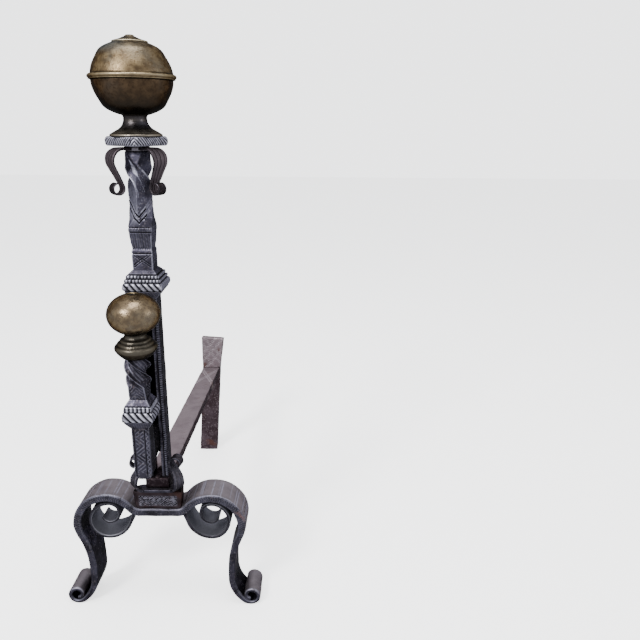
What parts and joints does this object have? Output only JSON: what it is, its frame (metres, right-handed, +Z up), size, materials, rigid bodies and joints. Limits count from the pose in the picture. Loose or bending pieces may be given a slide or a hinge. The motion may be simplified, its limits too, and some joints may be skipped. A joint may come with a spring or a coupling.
{
  "type": "andiron",
  "caption": "Tall forged iron andiron: arched scroll-footed leg, panelled post with brass ball finial, small front baluster with ball, and a log bar back to an upright stop.",
  "frame": {"origin": "on the floor, in the middle of the object's bounding box", "axes": "+Z up, +X to the right seen from the front, +Y from the front baluster back along the log bar"},
  "size_m": [0.227, 0.4584, 0.6269],
  "materials": {
    "wrought_iron": "hammered, burnished on the high points",
    "chiselled_iron": "chiselled and burnished",
    "rusty_iron": "hammered, lightly rusted",
    "antique_brass": "tarnished",
    "dark_brass": "blackened by heat"
  },
  "bodies": {
    "standing_frame": {"leg_bar": "wrought_iron", "left_inner_scroll": "wrought_iron", "right_inner_scroll": "wrought_iron", "base_block": "rusty_iron", "lyre_scroll": "wrought_iron", "log_bar": "rusty_iron", "rear_upright": "rusty_iron", "base_rivets": "rusty_iron", "tall_post": "wrought_iron", "post_collar": "chiselled_iron", "baluster_bracket": "wrought_iron", "baluster_post": "wrought_iron", "baluster_collar": "chiselled_iron"},
    "leaf_swivel": {"leaf_bracket": "wrought_iron"},
    "plate_swivel": {"top_plate": "chiselled_iron"},
    "great_ball_swivel": {"ball_neck": "dark_brass", "ball_lower": "antique_brass", "ball_upper": "antique_brass", "finial_cap": "antique_brass"},
    "small_ball_swivel": {"saucer": "antique_brass", "small_ball": "antique_brass"}
  },
  "joints": [
    {"name": "leaf_turn", "type": "hinge", "parent": "standing_frame", "child": "leaf_swivel", "pos_m": [0, -0.1482, 0.523], "axis": [0, 0, 1], "continuous": true},
    {"name": "plate_turn", "type": "hinge", "parent": "standing_frame", "child": "plate_swivel", "pos_m": [0, -0.1482, 0.53], "axis": [0, 0, 1], "continuous": true},
    {"name": "great_ball_turn", "type": "hinge", "parent": "standing_frame", "child": "great_ball_swivel", "pos_m": [0, -0.1482, 0.584], "axis": [0, 0, 1], "continuous": true},
    {"name": "small_ball_turn", "type": "hinge", "parent": "standing_frame", "child": "small_ball_swivel", "pos_m": [0, -0.2032, 0.364], "axis": [0, 0, 1], "continuous": true}
  ]
}
